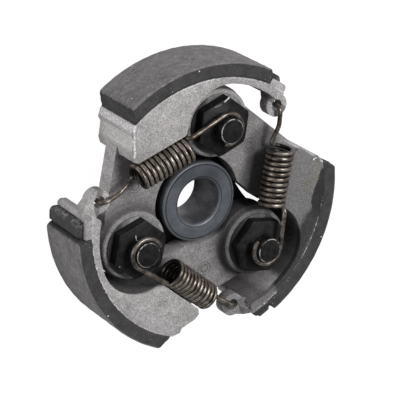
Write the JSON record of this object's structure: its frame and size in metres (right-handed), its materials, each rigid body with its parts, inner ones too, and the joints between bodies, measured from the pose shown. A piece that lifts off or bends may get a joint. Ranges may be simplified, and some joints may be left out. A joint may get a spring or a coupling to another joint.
{
  "type": "centrifugal clutch",
  "caption": "Centrifugal clutch for a small engine: a bored hub carries hinged cast shoes with friction linings, pulled in by hooked springs.",
  "frame": {"origin": "on the crankshaft axis at the hub's rear face", "axes": "+Z along the bore, towards the bolt heads and springs; the first pivot bolt is on +Y"},
  "size_m": [0.0748, 0.0751, 0.021],
  "materials": {
    "hub_steel": "dark blued steel, satin",
    "black_oxide": "black oxide, satin",
    "casting": "blasted casting, matt",
    "friction_lining": "moulded friction compound, matt",
    "spring_wire": "drawn spring steel, brown tempered"
  },
  "bodies": {
    "hub_body": {"hub": "hub_steel", "pivot_bolt_1": "black_oxide", "head_washer_1": "black_oxide", "spacer_washer_1": "black_oxide", "spring_1": "spring_wire", "pivot_bolt_2": "black_oxide", "head_washer_2": "black_oxide", "spacer_washer_2": "black_oxide", "spring_2": "spring_wire", "pivot_bolt_3": "black_oxide", "head_washer_3": "black_oxide", "spacer_washer_3": "black_oxide", "spring_3": "spring_wire"},
    "shoe_body_1": {"shoe_1": "casting", "lining_1": "friction_lining"},
    "shoe_body_2": {"shoe_2": "casting", "lining_2": "friction_lining"},
    "shoe_body_3": {"shoe_3": "casting", "lining_3": "friction_lining"}
  },
  "joints": [
    {"name": "shoe_1_pivot", "type": "hinge", "parent": "hub_body", "child": "shoe_body_1", "pos_m": [0, 0.02115, 0.00983], "axis": [0, 0, 1], "range_deg": [0, 4.5], "stiffness_Nm_per_rad": 4, "springref_deg": -5.73, "deforming": ["spring_3"]},
    {"name": "shoe_2_pivot", "type": "hinge", "parent": "hub_body", "child": "shoe_body_2", "pos_m": [-0.01832, -0.01057, 0.00983], "axis": [0, 0, 1], "range_deg": [0, 4.5], "stiffness_Nm_per_rad": 4, "springref_deg": -5.73, "deforming": ["spring_1"]},
    {"name": "shoe_3_pivot", "type": "hinge", "parent": "hub_body", "child": "shoe_body_3", "pos_m": [0.01832, -0.01057, 0.00983], "axis": [0, 0, 1], "range_deg": [0, 4.5], "stiffness_Nm_per_rad": 4, "springref_deg": -5.73, "deforming": ["spring_2"]}
  ]
}
